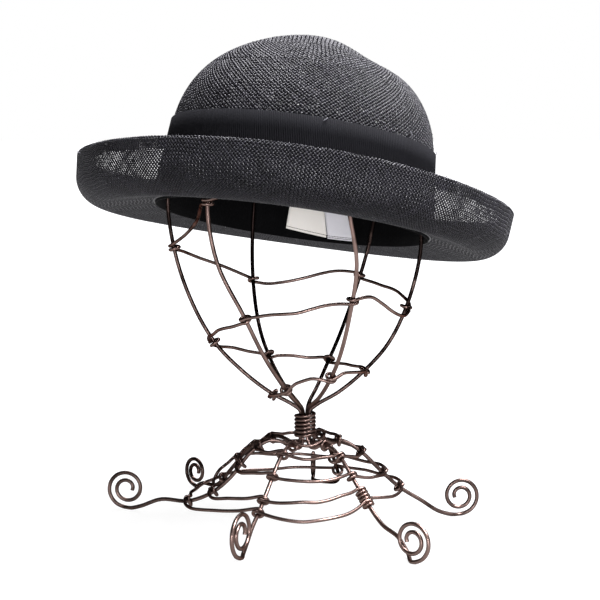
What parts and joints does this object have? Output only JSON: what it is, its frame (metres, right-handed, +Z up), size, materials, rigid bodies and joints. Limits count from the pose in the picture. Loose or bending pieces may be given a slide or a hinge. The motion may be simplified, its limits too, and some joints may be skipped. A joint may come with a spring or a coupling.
{
  "type": "straw bowler hat on a wire stand",
  "caption": "Black straw bowler hat with a rolled brim and a wide ribbon band, set askew on an open stand of bent bronze wire with scroll feet.",
  "frame": {"origin": "on the floor, under the middle of the part's box", "axes": "+Z up, -Y towards the hat's front, +X towards the side that the hat leans down to"},
  "size_m": [0.2614, 0.2976, 0.2954],
  "materials": {
    "straw": "woven paper straw, dyed black, slightly glossy",
    "ribbon": "ribbed grosgrain, matt",
    "sweatband": "black ribbed cloth band, matt",
    "cream_label": "bare woven label",
    "white_label": "bare satin label",
    "bronze_wire": "antique bronze coating, satin"
  },
  "bodies": {
    "root": {"crown": "straw", "brim": "straw", "ribbon_band": "ribbon", "sweatband": "sweatband", "wide_label": "cream_label", "narrow_label": "white_label", "stand_wire_right": "bronze_wire", "stand_wire_back_right": "bronze_wire", "stand_wire_back_left": "bronze_wire", "stand_wire_left": "bronze_wire", "stand_wire_front_left": "bronze_wire", "stand_wire_front_right": "bronze_wire", "stand_top_ring": "bronze_wire", "stand_neck_coil": "bronze_wire", "stand_cage_spiral": "bronze_wire", "stand_skirt_spiral": "bronze_wire"}
  },
  "joints": []
}
